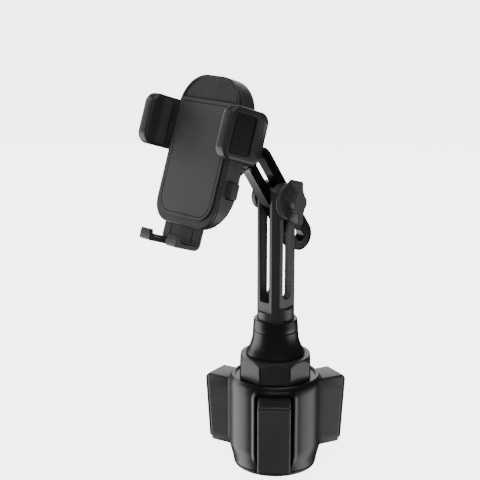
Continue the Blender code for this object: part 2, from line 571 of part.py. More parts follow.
def clamp(side, label):
    """One side clamp: wall and front lip, a rack into the casing, rubber pad and outer inlay."""
    low_z, top_z = CLAMP_Z - CLAMP_HALF_H, CLAMP_Z + CLAMP_HALF_H
    face = rounded(CLAMP_FRONT, CLAMP_REAR, low_z, top_z, 0.0065)
    lip, out = sorted((side * CLAMP_LIP, side * CLAMP_OUT))
    body = prism(f"clamp_{label}", [face], "YZ", lip, out, SATIN, CRADLE, bevel=0.0016)
    room_low, room_high = sorted((side * 0.030, side * CLAMP_IN))
    boolean(body, box(f"phone_room_{label}", (room_low, -0.0380, low_z - 0.01), (room_high, 0.0, top_z + 0.01),
                      None, CRADLE))
    plate_low, plate_high = sorted((side * 0.0315, side * 0.0425))
    boolean(body, box(f"arm_plate_{label}", (plate_low, RACK_FRONT, 0.0), (plate_high, RACK_BACK, 0.0250),
                      None, CRADLE), "UNION")
    boolean(body, prism(f"rack_{label}", [rack_teeth(side, side)], "XZ", RACK_FRONT + 0.0001, RACK_BACK - 0.0001,
                        None, CRADLE), "UNION", "MANIFOLD")
    boolean(body, rod(f"scoop_{label}", 0.0100, low_z + 0.0060, top_z - 0.0060, None, CRADLE,
                      at=(side * (CLAMP_OUT + 0.0090), CLAMP_REAR - 0.0010, 0)))
    deep, open_end = sorted((side * (CLAMP_OUT - 0.0012), side * 0.060))
    inset = rounded(-0.0415, -0.0222, 0.0, 0.0262, 0.0025)
    boolean(body, prism(f"panel_seat_{label}", [inset], "YZ", deep, open_end, None, CRADLE))
    inlay = rounded(-0.0412, -0.0225, 0.0003, 0.0259, 0.0022)
    deep, flush = sorted((side * (CLAMP_OUT - 0.0009), side * (CLAMP_OUT + 0.0001)))
    prism(f"panel_{label}", [inlay], "YZ", deep, flush, GLOSS, CRADLE)
    rubber = rounded(-0.0375, -0.0255, low_z + 0.0020, top_z - 0.0020, 0.0030)
    thin, thick = sorted((side * 0.0388, side * (CLAMP_IN - GAP)))
    prism(f"pad_{label}", [rubber], "YZ", thin, thick, RUBBER, CRADLE)


def pinion():
    """Small gear between the two racks, on its pin: involute flanks worked out tooth by tooth."""
    pitch_r, tip_r, root_r = TEETH * MODULE / 2, (TEETH / 2 + 0.8) * MODULE, (TEETH / 2 - 1.2) * MODULE
    base_r = pitch_r * math.cos(math.radians(20))
    half_at_pitch = math.pi / 2 / TEETH - 0.00010 / pitch_r
    involute = math.tan(math.radians(20)) - math.radians(20)

    def half_angle(radius):
        press = math.acos(min(1.0, base_r / radius))
        return half_at_pitch + involute - (math.tan(press) - press)

    flank = [root_r] + [base_r + (tip_r - base_r) * i / 2 for i in range(3)]
    outline = []
    for tooth in range(TEETH):
        centre = math.radians(90) + tooth * 2 * math.pi / TEETH
        wide = [half_angle(max(radius, base_r)) for radius in flank]
        left = [(radius, centre - w) for radius, w in zip(flank, wide)]
        right = [(radius, centre + w) for radius, w in zip(flank, wide)][::-1]
        outline += [(r * math.cos(t), CLAMP_Z + r * math.sin(t)) for r, t in left + right]
    bore = arc(0, CLAMP_Z, 0.0015 + GAP, 0, 345, 16)
    prism("pinion", [outline, bore], "XZ", RACK_FRONT + 0.0002, RACK_BACK - 0.0002, NYLON, CRADLE)
    rod("pinion_pin", 0.00122, -0.0244, -0.0153, STEEL, CRADLE, axis="Y", at=(0, 0, CLAMP_Z), steps=10)


def release_button(side, label):
    """Side button with an inner flange that keeps it in, and its return spring."""
    low, high = sorted((side * 0.0270, side * 0.0350))
    key = prism(f"release_button_{label}",
                [rounded(BUTTON_FRONT, BUTTON_BACK, BUTTON_Z - BUTTON_HALF_H, BUTTON_Z + BUTTON_HALF_H, 0.0015)],
                "YZ", low, high, SATIN, CRADLE, bevel=0.0007)
    low, high = sorted((side * 0.0262, side * 0.0285))
    boolean(key, box(f"button_flange_{label}", (low, BUTTON_FRONT + 0.0002, BUTTON_Z - 0.0078),
                     (high, BUTTON_BACK - 0.0002, BUTTON_Z + 0.0078), None, CRADLE), "UNION")
    wire = bpy.data.curves.new("spring_wire", "CURVE")
    wire.dimensions = "3D"
    wire.bevel_depth = 0.00035
    wire.bevel_resolution = 0
    wire.use_fill_caps = True
    spline = wire.splines.new("POLY")
    turns, per_turn = 4, 8
    spline.points.add(turns * per_turn)
    for i, point in enumerate(spline.points):
        turn = 2 * math.pi * i / per_turn
        point.co = (side * (0.0190 + 0.0065 * i / (turns * per_turn)), (BUTTON_FRONT + BUTTON_BACK) / 2
                    + 0.0024 * math.cos(turn), BUTTON_Z + 0.0024 * math.sin(turn), 1)
    spring = bpy.data.objects.new("spring_guide", wire)
    CUTTERS.objects.link(spring)
    bpy.context.view_layer.update()
    mesh = bpy.data.meshes.new_from_object(spring.evaluated_get(bpy.context.evaluated_depsgraph_get()))
    bpy.data.objects.remove(spring)
    bm = bmesh.new()
    bm.from_mesh(mesh)
    bmesh.ops.remove_doubles(bm, verts=bm.verts, dist=0.00001)
    bmesh.ops.recalc_face_normals(bm, faces=bm.faces)
    bm.to_mesh(mesh)
    bm.free()
    mesh.materials.clear()
    place(f"button_spring_{label}", smooth(mesh), STEEL, CRADLE)


def foot():
    """Pull-out foot: a stem behind the front plate, a shelf with two hooks and a cable notch."""
    under, stem_front, stem_back, stem_top = FOOT_Z - FOOT_THICK, -0.0243, -0.0220, -0.0330
    heel = 0.0050
    side_view = (arc(stem_back - heel, under + heel, heel, -90, 0, 5)
                 + [(stem_back, stem_top), (stem_front, stem_top), (stem_front, FOOT_Z), (-0.0375, FOOT_Z),
                    (HOOK_BACK, FOOT_Z + 0.0013), (HOOK_BACK, HOOK_TOP), (HOOK_FRONT, HOOK_TOP),
                    (HOOK_FRONT, under + 0.0008), (HOOK_FRONT + 0.0014, under)])
    shelf = prism("foot", [side_view], "YZ", -FOOT_HALF, FOOT_HALF, SATIN, CRADLE)
    boolean(shelf, box("foot_gap", (-HOOK_IN, HOOK_FRONT - 0.0020, FOOT_Z - 0.0004), (HOOK_IN, -0.0362, HOOK_TOP + 0.0020),
                       None, CRADLE))
    half_notch = [(0.0046, -0.0335), (0.0056, -0.0375), (0.0076, -0.0415), (0.0088, HOOK_FRONT - 0.0020)]
    boolean(shelf, prism("foot_notch", [half_notch + [(-x, y) for x, y in half_notch[::-1]]], "XY",
                         under - 0.0020, FOOT_Z + 0.0020, None, CRADLE))
    for side, label in ((-1, "left"), (1, "right")):
        groove_low, groove_high = sorted((side * 0.0112, side * 0.0118))
        boolean(shelf, box(f"foot_groove_{side}", (groove_low, -0.0250, FOOT_Z + 0.0010),
                           (groove_high, -0.0238, stem_top + 0.0030), None, CRADLE))
        low, high = sorted((side * (HOOK_IN + 0.0005), side * (FOOT_HALF - 0.0010)))
        box(f"foot_pad_{label}", (low, -0.0370, FOOT_Z + GAP), (high, PAD_BACK, FOOT_Z + 0.0011), RUBBER, CRADLE)


base_shell()
bottom_cover()
centre_column()
for wing_number, wing_angle in enumerate(WING_ANGLES, 1):
    wing(wing_number, wing_angle)
adjusting_nut()
cam_disc()
neck()
post()

arm_axis = Vector((0, -math.sin(ARM_LEAN), math.cos(ARM_LEAN)))
arm_end = Vector((0, 0, PIVOT_Z)) + arm_axis * ARM_UP
face_out = Vector((0, -math.cos(CRADLE_LEAN), math.sin(CRADLE_LEAN)))
STUD_REACH = 0.0307               # from the ball's centre to the centre of the arm's upper end
CRADLE = empty("cradle_frame", arm_end + face_out * STUD_REACH, (-CRADLE_LEAN, 0, 0))

clamp_bolt()
knob()
arm()
ball_joint()
rear_casing()
front()
for clamp_side, clamp_label in ((-1, "left"), (1, "right")):
    clamp(clamp_side, clamp_label)
    release_button(clamp_side, clamp_label)
pinion()
foot()
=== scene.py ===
"""A cup-holder mount for a phone: an expanding base, a forked post, a slotted arm and a sprung cradle."""
import json
import math

import bmesh
import bpy
from mathutils import Matrix, Vector


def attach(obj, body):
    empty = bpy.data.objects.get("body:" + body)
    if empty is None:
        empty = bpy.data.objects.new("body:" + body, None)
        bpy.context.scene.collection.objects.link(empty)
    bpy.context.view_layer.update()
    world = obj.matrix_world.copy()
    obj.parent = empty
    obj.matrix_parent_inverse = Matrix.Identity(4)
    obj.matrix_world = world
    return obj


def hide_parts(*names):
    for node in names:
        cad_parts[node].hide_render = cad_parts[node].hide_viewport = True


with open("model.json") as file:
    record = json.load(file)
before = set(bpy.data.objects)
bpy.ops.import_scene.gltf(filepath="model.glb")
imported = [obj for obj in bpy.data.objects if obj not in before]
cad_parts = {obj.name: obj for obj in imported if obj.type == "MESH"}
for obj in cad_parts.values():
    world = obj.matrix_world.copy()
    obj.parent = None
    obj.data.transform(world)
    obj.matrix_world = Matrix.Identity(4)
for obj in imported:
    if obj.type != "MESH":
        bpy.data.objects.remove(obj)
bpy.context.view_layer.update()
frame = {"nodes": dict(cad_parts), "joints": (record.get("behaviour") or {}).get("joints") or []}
joints = {joint["name"]: joint for joint in frame["joints"]}


# ---- Finishes -----------------------------------------------------------------------------------
# Moulded black plastics in gloss and satin, dark grey rubber, and the small metal and nylon parts.
# Every finish has a fine moulded or blasted grain, a faint change of tone and uneven handling marks.

skin = bpy.data.node_groups.new("moulded_skin", "ShaderNodeTree")
for socket, kind in (("Colour", "NodeSocketColor"), ("Roughness", "NodeSocketFloat"),
                     ("Grain fineness", "NodeSocketFloat"), ("Grain depth", "NodeSocketFloat"),
                     ("Marks", "NodeSocketFloat"), ("Edge wear", "NodeSocketFloat")):
    skin.interface.new_socket(socket, in_out="INPUT", socket_type=kind)
for socket, kind in (("Colour", "NodeSocketColor"), ("Roughness", "NodeSocketFloat"),
                     ("Normal", "NodeSocketVector")):
    skin.interface.new_socket(socket, in_out="OUTPUT", socket_type=kind)


def add_node(tree, kind, links=(), **values):
    """Adds a node, sets its named inputs and links sockets into it."""
    node = tree.nodes.new(kind)
    for key, value in values.items():
        setattr(node, key, value)
    for name, source in links:
        if isinstance(source, bpy.types.NodeSocket):
            tree.links.new(source, node.inputs[name])
        else:
            node.inputs[name].default_value = source
    return node


given = skin.nodes.new("NodeGroupInput").outputs
put_out = skin.nodes.new("NodeGroupOutput").inputs
place = add_node(skin, "ShaderNodeTexCoord").outputs["Object"]
grain = add_node(skin, "ShaderNodeTexNoise", (("Vector", place), ("Scale", given["Grain fineness"]),
                                              ("Detail", 2.0)))
bump = add_node(skin, "ShaderNodeBump", (("Height", grain.outputs["Fac"]), ("Strength", 1.0),
                                         ("Distance", given["Grain depth"])))
skin.links.new(bump.outputs["Normal"], put_out["Normal"])
cloud = add_node(skin, "ShaderNodeTexNoise", (("Vector", place), ("Scale", 55.0), ("Detail", 5.0),
                                              ("Roughness", 0.6)))
spread = add_node(skin, "ShaderNodeMapRange", (("Value", cloud.outputs["Fac"]), ("From Min", 0.3),
                                               ("From Max", 0.7), ("To Min", -1.0), ("To Max", 1.0)))
marks = add_node(skin, "ShaderNodeMath", ((0, spread.outputs[0]), (1, given["Marks"])), operation="MULTIPLY")
rough = add_node(skin, "ShaderNodeMath", ((0, given["Roughness"]), (1, marks.outputs[0])), operation="ADD",
                 use_clamp=True)
skin.links.new(rough.outputs[0], put_out["Roughness"])
tone = add_node(skin, "ShaderNodeMapRange", (("Value", cloud.outputs["Fac"]), ("From Min", 0.3),
                                             ("From Max", 0.7), ("To Min", 0.85), ("To Max", 1.15)))
toned = add_node(skin, "ShaderNodeVectorMath", ((0, given["Colour"]), ("Scale", tone.outputs[0])),
                 operation="SCALE")
edge_curve = add_node(skin, "ShaderNodeNewGeometry").outputs["Pointiness"]
ridge = add_node(skin, "ShaderNodeMapRange", (("Value", edge_curve), ("From Min", 0.53), ("From Max", 0.62)))
worn = add_node(skin, "ShaderNodeMath", ((0, ridge.outputs[0]), (1, given["Edge wear"])),
                operation="MULTIPLY")
edged = add_node(skin, "ShaderNodeMix", (("Factor", worn.outputs[0]), (6, toned.outputs[0]),
                                         (7, (0.16, 0.16, 0.17, 1))), data_type="RGBA")
skin.links.new(edged.outputs[2], put_out["Colour"])


def finish_of(name, colour, roughness, fineness, depth, marks, wear, metallic=0.0):
    """A Principled material over the moulded skin."""
    look = bpy.data.materials.new(name)
    look.use_nodes = True
    shader = look.node_tree.nodes["Principled BSDF"]
    laid = add_node(look.node_tree, "ShaderNodeGroup", node_tree=skin)
    for socket, value in (("Colour", (*colour, 1)), ("Roughness", roughness), ("Grain fineness", fineness),
                          ("Grain depth", depth), ("Marks", marks), ("Edge wear", wear)):
        laid.inputs[socket].default_value = value
    for source, target in (("Colour", "Base Color"), ("Roughness", "Roughness"), ("Normal", "Normal")):
        look.node_tree.links.new(laid.outputs[source], shader.inputs[target])
    shader.inputs["Metallic"].default_value = metallic
    return look


gloss_plastic = finish_of("gloss_plastic", (0.007, 0.007, 0.0075), 0.33, 900, 0.0000015, 0.02, 0.06)
deep_gloss = finish_of("deep_gloss", (0.004, 0.004, 0.0042), 0.15, 900, 0.000001, 0.02, 0.04)
satin_plastic = finish_of("satin_plastic", (0.024, 0.024, 0.025), 0.38, 3200, 0.000008, 0.03, 0.10)
fine_plastic = finish_of("fine_plastic", (0.038, 0.038, 0.040), 0.44, 4200, 0.00001, 0.03, 0.12)
rubber = finish_of("rubber", (0.042, 0.0425, 0.0435), 0.62, 5200, 0.00002, 0.04, 0.06)
steel = finish_of("steel", (0.55, 0.55, 0.56), 0.30, 2600, 0.00001, 0.06, 0.0, metallic=1.0)
dark_steel = finish_of("dark_steel", (0.06, 0.06, 0.065), 0.32, 2600, 0.00001, 0.05, 0.0, metallic=1.0)
brass = finish_of("brass", (0.68, 0.50, 0.22), 0.34, 2600, 0.00001, 0.05, 0.0, metallic=1.0)
nylon = finish_of("nylon", (0.72, 0.72, 0.69), 0.48, 2200, 0.00002, 0.04, 0.0)

for look, names in (
        (steel, "cover_screw_1 cover_screw_2 cover_screw_3 centre_column wing_pin_1 wing_pin_2 wing_pin_3 "
                "cam_disc neck_washer neck_nut clamp_bolt case_screw_1 case_screw_2 case_screw_3 "
                "case_screw_4 pinion_pin button_spring_left button_spring_right"),
        (dark_steel, "ball_stud"), (brass, "knob_insert"), (nylon, "liner_rear liner_front pinion"),
        (satin_plastic, "washer_left washer_right")):
    for name in names.split():
        slots = frame["nodes"][name].data.materials
        if len(slots) == 0:
            slots.append(look)
        for number in range(len(slots)):
            slots[number] = look


# ---- Base body ----------------------------------------------------------------------------------
# The round tub that stands in the cup holder: one moulding in gloss black, with a soft shoulder, a
# narrower foot, and a raised rolled rim round each of the three openings that the wings slide through.

def lathe(points, steps, closed=True):
    """Turns (radius, height) points about the upright axis."""
    bm = bmesh.new()
    chain = [bm.verts.new((radius, 0, height)) for radius, height in points]
    edges = [bm.edges.new(pair) for pair in zip(chain, chain[1:])]
    if closed:
        edges.append(bm.edges.new((chain[-1], chain[0])))
    bmesh.ops.spin(bm, geom=chain + edges, axis=(0, 0, 1), cent=(0, 0, 0), angle=math.tau, steps=steps,
                   use_merge=True)
    bmesh.ops.remove_doubles(bm, verts=bm.verts, dist=0.000001)
    bmesh.ops.recalc_face_normals(bm, faces=bm.faces)
    return bm


def curve(x, y, radius, start, end, count, squash=1.0):
    """Points along an arc in degrees, both ends included."""
    turns = [math.radians(start + (end - start) * i / (count - 1)) for i in range(count)]
    return [(x + radius * math.cos(t), y + radius * squash * math.sin(t)) for t in turns]


def smoothstep(low, high, value):
    share = min(1.0, max(0.0, (value - low) / (high - low)))
    return share * share * (3 - 2 * share)


def object_from(name, bm):
    mesh = bpy.data.meshes.new(name)
    bm.to_mesh(mesh)
    bm.free()
    piece = bpy.data.objects.new(name, mesh)
    bpy.context.scene.collection.objects.link(piece)
    return piece


def carve(piece, tool, operation="DIFFERENCE"):
    """Takes a tool's shape away from a piece, or joins or intersects the two."""
    helper = object_from("helper", tool)
    step = piece.modifiers.new("carve", "BOOLEAN")
    step.operation = operation
    step.solver = "EXACT"
    step.object = helper
    bpy.context.view_layer.update()
    made = bpy.data.meshes.new_from_object(piece.evaluated_get(bpy.context.evaluated_depsgraph_get()))
    piece.modifiers.clear()
    piece.data = made
    bpy.data.objects.remove(helper)


def soften(piece, edge, segments, above, harden=False):
    """Rounds a piece's sharp edges."""
    soft = piece.modifiers.new("edge", "BEVEL")
    soft.width = edge
    soft.segments = segments
    soft.limit_method = "ANGLE"
    soft.angle_limit = math.radians(above)
    soft.harden_normals = harden
    soft.use_clamp_overlap = False


def taken(piece):
    """Turns a helper piece back into a loose shape and removes the piece."""
    bm = bmesh.new()
    bm.from_mesh(piece.data)
    bpy.data.objects.remove(piece)
    return bm


def complete(piece, look, body, nodes=(), edge=0.0, segments=3, above=35, crease=35):
    """Gives a piece its material, softened edges and its body, and hides the nodes it stands for."""
    piece.data.materials.clear()
    piece.data.materials.append(look)
    piece.data.shade_smooth()
    piece.data.set_sharp_from_angle(angle=math.radians(crease))
    if edge:
        soften(piece, edge, segments, above, True)
    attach(piece, body)
    if nodes:
        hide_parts(*nodes)
    return piece


def block(outline, low, high, axis="Z"):
    """Extrudes a flat outline between two depths along an axis."""
    bm = bmesh.new()
    face = bm.faces.new([bm.verts.new((x, y, low)) for x, y in outline])
    raised = bmesh.ops.extrude_face_region(bm, geom=[face])["geom"]
    bmesh.ops.translate(bm, verts=[v for v in raised if isinstance(v, bmesh.types.BMVert)],
                        vec=(0, 0, high - low))
    to_axis = {"Z": Matrix.Identity(4),
               "X": Matrix(((0, 0, 1, 0), (1, 0, 0, 0), (0, 1, 0, 0), (0, 0, 0, 1))),
               "Y": Matrix(((1, 0, 0, 0), (0, 0, 1, 0), (0, 1, 0, 0), (0, 0, 0, 1)))}[axis]
    bmesh.ops.transform(bm, matrix=to_axis, verts=bm.verts)
    bmesh.ops.recalc_face_normals(bm, faces=bm.faces)
    return bm


def rounded(x0, x1, y0, y1, r_low, r_top=None, count=9):
    """A rectangle's outline with one radius at its two low corners and one at its top corners."""
    r_top = r_low if r_top is None else r_top
    return (curve(x1 - r_low, y0 + r_low, r_low, -90, 0, count)
            + curve(x1 - r_top, y1 - r_top, r_top, 0, 90, count)
            + curve(x0 + r_top, y1 - r_top, r_top, 90, 180, count)
            + curve(x0 + r_low, y0 + r_low, r_low, 180, 270, count))


WING_ANGLES = (-45, 75, 195)
TUB_R = 0.0352
OPEN_HALF, OPEN_LOW, OPEN_TOP, OPEN_R = 0.0140, 0.0070, 0.0668, 0.0040
RIM_HEIGHT = 0.0013

tub_side = [(0.0304, 0.0710), (0.0305, 0.0716)] + curve(0.0313, 0.0716, 0.0007, 170, 90, 4)
tub_side += curve(0.0318, 0.0632, 0.0034, 82, 0, 14, 2.7)
tub_side += [(TUB_R, 0.0632 - 0.00072 * i) for i in range(1, 62)]
FOOT_IN = 0.0033
for i in range(1, 41):
    height = 0.0195 - 0.0155 * i / 40
    tub_side.append((TUB_R - FOOT_IN * (1 - smoothstep(0.0025, 0.0200, height)), height))
tub_inside = [(0.0296, 0.0041), (0.0302, 0.0150), (0.0326, 0.0200), (0.0326, 0.0665), (0.0312, 0.0686),
              (0.0097, 0.0686), (0.0097, 0.0710)]
tub_bm = lathe(tub_side + tub_inside, 360)
for vert in tub_bm.verts:
    radius = math.hypot(vert.co.x, vert.co.y)
    inner_wall = radius < 0.0328 and 0.012 < vert.co.z < 0.067
    if radius < 0.0316 or vert.co.z < 0.0045 or vert.co.z > 0.0722 or inner_wall:
        continue
    angle = math.degrees(math.atan2(vert.co.y, vert.co.x))
    swell = 0.0
    for wing_angle in WING_ANGLES:
        across = TUB_R * math.radians((angle - wing_angle + 180) % 360 - 180)
        dx = abs(across) - OPEN_HALF + OPEN_R
        dz = abs(vert.co.z - (OPEN_TOP + OPEN_LOW) / 2) - (OPEN_TOP - OPEN_LOW) / 2 + OPEN_R
        away = math.hypot(max(dx, 0), max(dz, 0)) + min(max(dx, dz), 0) - OPEN_R
        crest = 1 - smoothstep(0.0009, 0.0042, away)
        crest -= 0.45 * (1 - smoothstep(-0.0004, 0.0010, away))
        swell = max(swell, crest)
    swell *= smoothstep(0.0080, 0.0200, vert.co.z) * (1 - smoothstep(0.0672, 0.0705, vert.co.z))
    grow = 1 + RIM_HEIGHT * swell / radius
    vert.co.x *= grow
    vert.co.y *= grow
tub = object_from("base_tub", tub_bm)
mouth = bmesh.new()
for wing_angle in WING_ANGLES:
    one = block(rounded(-OPEN_HALF, OPEN_HALF, OPEN_LOW, OPEN_TOP, OPEN_R), 0.022, 0.060, "X")
    bmesh.ops.rotate(one, verts=one.verts, matrix=Matrix.Rotation(math.radians(wing_angle), 3, "Z"))
    held = bpy.data.meshes.new("held")
    one.to_mesh(held)
    one.free()
    mouth.from_mesh(held)
carve(tub, mouth)
complete(tub, gloss_plastic, "base", ["base_shell"], crease=40)

cover_side = curve(0.0288, 0.0028, 0.0028, 0, -90, 8) + [(0.0, 0.0)]
cover = object_from("base_cover", lathe([(0.0, 0.0050), (0.0290, 0.0050), (0.0291, 0.0037)] + cover_side, 144,
                                        False))
for number in range(3):
    turn = math.radians(15 + 120 * number)
    seat = lathe([(0.0, 0.0020), (0.0031, 0.0020), (0.0031, -0.0010), (0.0, -0.0010)], 32, False)
    bmesh.ops.translate(seat, verts=seat.verts, vec=(0.0235 * math.cos(turn), 0.0235 * math.sin(turn), 0))
    carve(cover, seat)
complete(cover, satin_plastic, "base", ["bottom_cover"])


# ---- Wings --------------------------------------------------------------------------------------
# Three hollow satin mouldings that slide out to grip the cup holder, each with a glued rubber face.
# Their outer faces lean out a little towards the top, and shallow lines frame their sides.

WING_LOW, WING_TOP, WING_HALF = 0.0108, 0.0652, 0.0122
WING_R_LOW, WING_R_TOP, WING_BACK = 0.0526, 0.0566, 0.0270
WING_WALL, WING_FACE, PAD_THICK, LINE_DEEP, LINE_WIDE = 0.0022, 0.0018, 0.0015, 0.00012, 0.0003
lean_out = (WING_R_TOP - WING_R_LOW) / (WING_TOP - WING_LOW)
for number, wing_angle in enumerate(WING_ANGLES, 1):
    spin = Matrix.Rotation(math.radians(wing_angle), 4, "Z")
    side = [(WING_BACK, WING_LOW), (WING_R_LOW - WING_FACE, WING_LOW), (WING_R_TOP - WING_FACE, WING_TOP),
            (WING_BACK, WING_TOP)]
    wing = object_from(f"wing_body_{number}", block(side, -WING_HALF, WING_HALF, "Y"))
    hollow = [(0.020, WING_LOW + WING_WALL), (WING_R_LOW - 0.0042, WING_LOW + WING_WALL),
              (WING_R_TOP - 0.0042, WING_TOP - WING_WALL), (0.020, WING_TOP - WING_WALL)]
    carve(wing, block(hollow, WING_WALL - WING_HALF, WING_HALF - WING_WALL, "Y"))
    soften(wing, 0.0016, 5, 35)
    for flank in (-1, 1):
        low, high = sorted((flank * (WING_HALF - LINE_DEEP), flank * (WING_HALF + 0.001)))
        for height in (0.0183, 0.0562):
            shift = lean_out * (height - WING_LOW)
            line = [(0.0290, height), (0.0488 + shift, height), (0.0488 + shift, height + LINE_WIDE),
                    (0.0290, height + LINE_WIDE)]
            carve(wing, block(line, low, high, "Y"))
    wing.data.transform(spin)
    complete(wing, satin_plastic, f"wing_{number}", [f"wing_{number}"])
    low, top = WING_LOW + 0.0020, WING_TOP - 0.0018
    pad_bm = block(rounded(0.0006 - WING_HALF, WING_HALF - 0.0006, low, top, 0.0026), 0.0, PAD_THICK, "X")
    for vert in pad_bm.verts:
        vert.co.x += WING_R_LOW - PAD_THICK + lean_out * (vert.co.z - WING_LOW)
    bmesh.ops.transform(pad_bm, matrix=spin, verts=pad_bm.verts)
    complete(object_from(f"wing_face_{number}", pad_bm), rubber, f"wing_{number}",
             [f"wing_pad_{number}"], edge=0.0009, segments=4)


# ---- Adjusting nut ------------------------------------------------------------------------------
# The eight-sided collar that is turned by hand to move the wings: satin black, coned at the top so
# each face ends in an arch, with a dark relief down every corner.

NUT_FLAT = 0.0266
nut_side = [(0.0067, 0.0886), (0.0240, 0.0886)] + curve(0.0262, 0.0880, 0.0006, 90, 30, 5)
nut_side += [(0.0296, 0.0886 - 0.0005 * i) for i in range(2, 33)] + [(0.0290, 0.0717), (0.0067, 0.0717)]
nut_bm = lathe(nut_side, 480)
for vert in nut_bm.verts:
    radius = math.hypot(vert.co.x, vert.co.y)
    if radius < 0.0264:
        continue
    turn = (math.degrees(math.atan2(vert.co.y, vert.co.x)) + 22.5) % 45 - 22.5
    flat = NUT_FLAT / math.cos(math.radians(turn))
    along = abs(NUT_FLAT * math.tan(math.radians(turn)))
    flat -= 0.0013 * smoothstep(0.0098, 0.0105, along)
    cone = 0.0262 + (0.0888 - vert.co.z) * 0.60
    gap = (cone - flat) / 0.0003
    reach = flat + 0.0003 * (gap if gap < -12 else -math.log1p(math.exp(-gap)) if gap < 30 else 0)
    reach = min(reach, radius)
    vert.co.x *= reach / radius
    vert.co.y *= reach / radius
nut = object_from("grip_nut", nut_bm)
complete(nut, satin_plastic, "nut", ["adjusting_nut"], crease=50)


# ---- Neck and collar ----------------------------------------------------------------------------
# A flared gloss neck that swivels on the base's column, and the thin lipped ring seated on top of it.

NECK_LOW, NECK_TOP = 0.0889, 0.1078
flare = [(0.0172 + 0.0052 * (1 - i / 24) ** 2.2, NECK_LOW + 0.0009 + (NECK_TOP - NECK_LOW - 0.0013) * i / 24)
         for i in range(25)]
neck_side = flare + [(0.0170, NECK_TOP), (0.0143, NECK_TOP), (0.0143, 0.1013), (0.0125, 0.1013),
                     (0.0125, 0.0925),
                     (0.0064, 0.0925), (0.0064, NECK_LOW), (0.0219, NECK_LOW), (0.0223, NECK_LOW + 0.0004)]
complete(object_from("flared_neck", lathe(neck_side, 160)), gloss_plastic, "neck",
         ["neck_cone"],
         crease=40)
ring_side = [(0.0143, 0.1167), (0.0150, 0.1167)] + curve(0.0158, 0.1160, 0.0007, 90, 0, 6)
ring_side += [(0.0166, 0.1150), (0.0170, 0.1110), (0.0172, 0.1086), (0.0170, 0.1081), (0.0143, 0.1081)]
complete(object_from("lipped_ring", lathe(ring_side, 160)), gloss_plastic, "neck",
         ["collar_ring"],
         crease=40)


# ---- Post ---------------------------------------------------------------------------------------
# A forked satin column: round at the foot, milled flat on four sides down to curved shoulders, with
# a long slot through each prong for the clamp bolt. Its long edges are rounded.

PIVOT = Vector(joints["arm_tilt"]["pos_m"])
post_side = [(0.0, 0.1016), (0.0140, 0.1016), (0.0140, 0.2260), (0.0, 0.2260)]
post = object_from("forked_post", lathe(post_side, 128, False))
FLAT_AT, ABOVE, SHOULDER = 0.0118, 0.24, 0.0025
wide_foot, slot_foot = 0.1232, 0.1268
wide_side = [(0.0150, wide_foot - SHOULDER), (0.0150, ABOVE), (-0.0150, ABOVE), (-0.0150, wide_foot - SHOULDER)]
slot_side = curve(0.0, slot_foot + 0.0076, 0.0105, 180, 360, 25, 0.85) + [(0.0105, ABOVE), (-0.0105, ABOVE)]
for turn, outline in ((0, slot_side), (180, slot_side), (90, wide_side), (270, wide_side)):
    bite = block(outline, FLAT_AT, 0.030, "X")
    if outline is wide_side:
        for vert in bite.verts:
            if vert.co.z < 0.2 and vert.co.x < 0.02:
                vert.co.z += SHOULDER
    bmesh.ops.rotate(bite, verts=bite.verts, matrix=Matrix.Rotation(math.radians(turn), 3, "Z"))
    carve(post, bite)
crown = [(-0.0150, 0.2010), (-0.0150, 0.0950), (0.0150, 0.0950), (0.0150, 0.2010)]
carve(post, block(crown + curve(0, PIVOT.z, 0.0123, -10, 190, 41), -0.02, 0.02, "X"), "INTERSECT")
carve(post, block(rounded(-0.0050, 0.0050, 0.1305, 0.24, 0.0008), -0.03, 0.03, "Y"))
SLOT_HALF = 0.0042
bolt_slot = curve(0, PIVOT.z, SLOT_HALF, 0, 180, 25) + curve(0, 0.1372, SLOT_HALF, 180, 360, 25)
carve(post, block(bolt_slot, -0.03, 0.03, "X"))
post_bm = bmesh.new()
post_bm.from_mesh(post.data)
bmesh.ops.remove_doubles(post_bm, verts=post_bm.verts, dist=0.00002)
bmesh.ops.dissolve_limit(post_bm, angle_limit=math.radians(0.5), verts=post_bm.verts, edges=post_bm.edges)
long_edges = [edge for edge in post_bm.edges if edge.calc_length() > 0.0030
              and edge.calc_face_angle() > math.radians(35)]
bmesh.ops.bevel(post_bm, geom=long_edges, offset=0.0009, offset_type="OFFSET", segments=4, profile=0.5,
                affect="EDGES")
post_bm.to_mesh(post.data)
post_bm.free()
complete(post, satin_plastic, "neck", ["post"], crease=30)


# ---- Bolt cap and slot guide --------------------------------------------------------------------
# The domed cap over the bolt's head on the far prong, and the bush in the arm's slot that the arm
# tilts on and slides along.

to_pivot_x = Matrix.Translation(PIVOT) @ Matrix.Rotation(math.radians(90), 4, "Y")


def lathe_on(points, steps, place, closed=True):
    bm = lathe(points, steps, closed)
    bmesh.ops.transform(bm, matrix=place, verts=bm.verts)
    return bm


cap_side = [(0.0, -0.0161), (0.0069, -0.0161), (0.0069, -0.0132), (0.0100, -0.0132), (0.0102, -0.0134),
            (0.0102, -0.0158)] + curve(0.0094, -0.0160, 0.0008, -10, -80, 5)
cap_side += [(0.0070, -0.0170), (0.0066, -0.0167), (0.0030, -0.0169), (0.0, -0.0170)]
complete(object_from("bolt_cover", lathe_on(cap_side, 96, to_pivot_x, False)), satin_plastic, "carriage",
         ["bolt_cap"])

ARM_LEAN = math.atan2(-joints["arm_reach"]["axis"][1], joints["arm_reach"]["axis"][2])
arm_way = Matrix.Translation(PIVOT) @ Matrix.Rotation(ARM_LEAN, 4, "X")


def stadium(low, high, half, count=25):
    """A long round-ended outline along the arm, between two distances from the pivot."""
    return curve(0, high, half, 0, 180, count) + curve(0, low, half, 180, 360, count)


